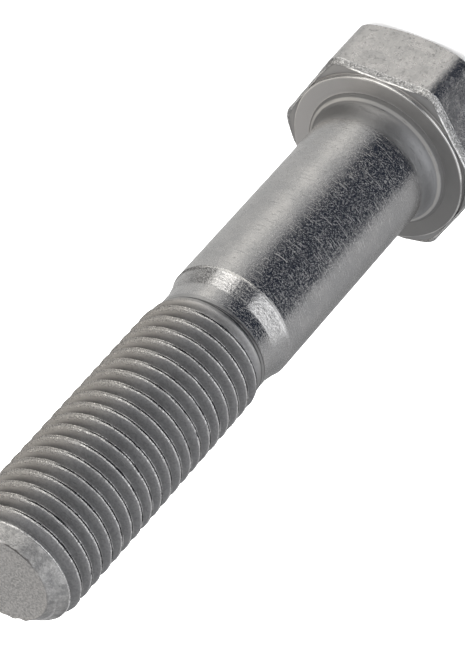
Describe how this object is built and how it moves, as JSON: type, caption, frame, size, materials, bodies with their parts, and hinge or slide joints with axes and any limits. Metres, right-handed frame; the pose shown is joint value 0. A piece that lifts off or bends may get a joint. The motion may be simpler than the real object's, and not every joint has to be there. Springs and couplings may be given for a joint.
{
  "type": "hex bolt",
  "caption": "Partly threaded hexagon-head bolt with a washer face, plain shank, tapered neck and right-hand rolled metric thread with a chamfered tip.",
  "frame": {"origin": "centre of the flat top of the hexagon head, which the bolt stands on", "axes": "+Z along the bolt's axis from the head's top to the thread's tip; +X out of one wrench flat; +Y out of one corner of the hexagon"},
  "size_m": [0.024, 0.0272, 0.09],
  "materials": {
    "steel": "satin tumbled stainless steel"
  },
  "bodies": {
    "root": {"hex_bolt": "steel"}
  },
  "joints": []
}
